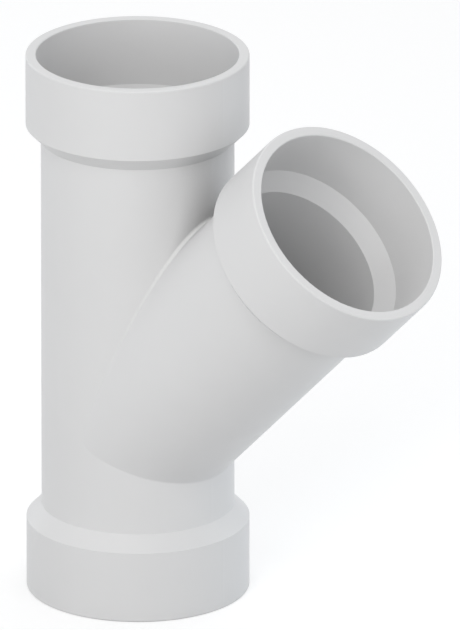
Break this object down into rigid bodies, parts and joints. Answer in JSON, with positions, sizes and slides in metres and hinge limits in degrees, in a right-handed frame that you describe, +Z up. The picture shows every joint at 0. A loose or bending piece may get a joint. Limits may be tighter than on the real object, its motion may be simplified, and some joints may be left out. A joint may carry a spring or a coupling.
{
  "type": "lateral wye pipe fitting",
  "caption": "Lateral wye fitting: a straight pipe run with a side branch at 45 degrees, sockets on all ends for solvent-welded pipe.",
  "frame": {"origin": "centre of the lower hub's end, on the run's axis", "axes": "+Z up the run's axis towards the upper hub, +X towards the side that the branch leaves from, +Y across"},
  "size_m": [0.2627, 0.1264, 0.319],
  "materials": {
    "wye_fitting": "smooth satin light grey"
  },
  "bodies": {
    "root": {"wye_fitting": "wye_fitting"}
  },
  "joints": []
}
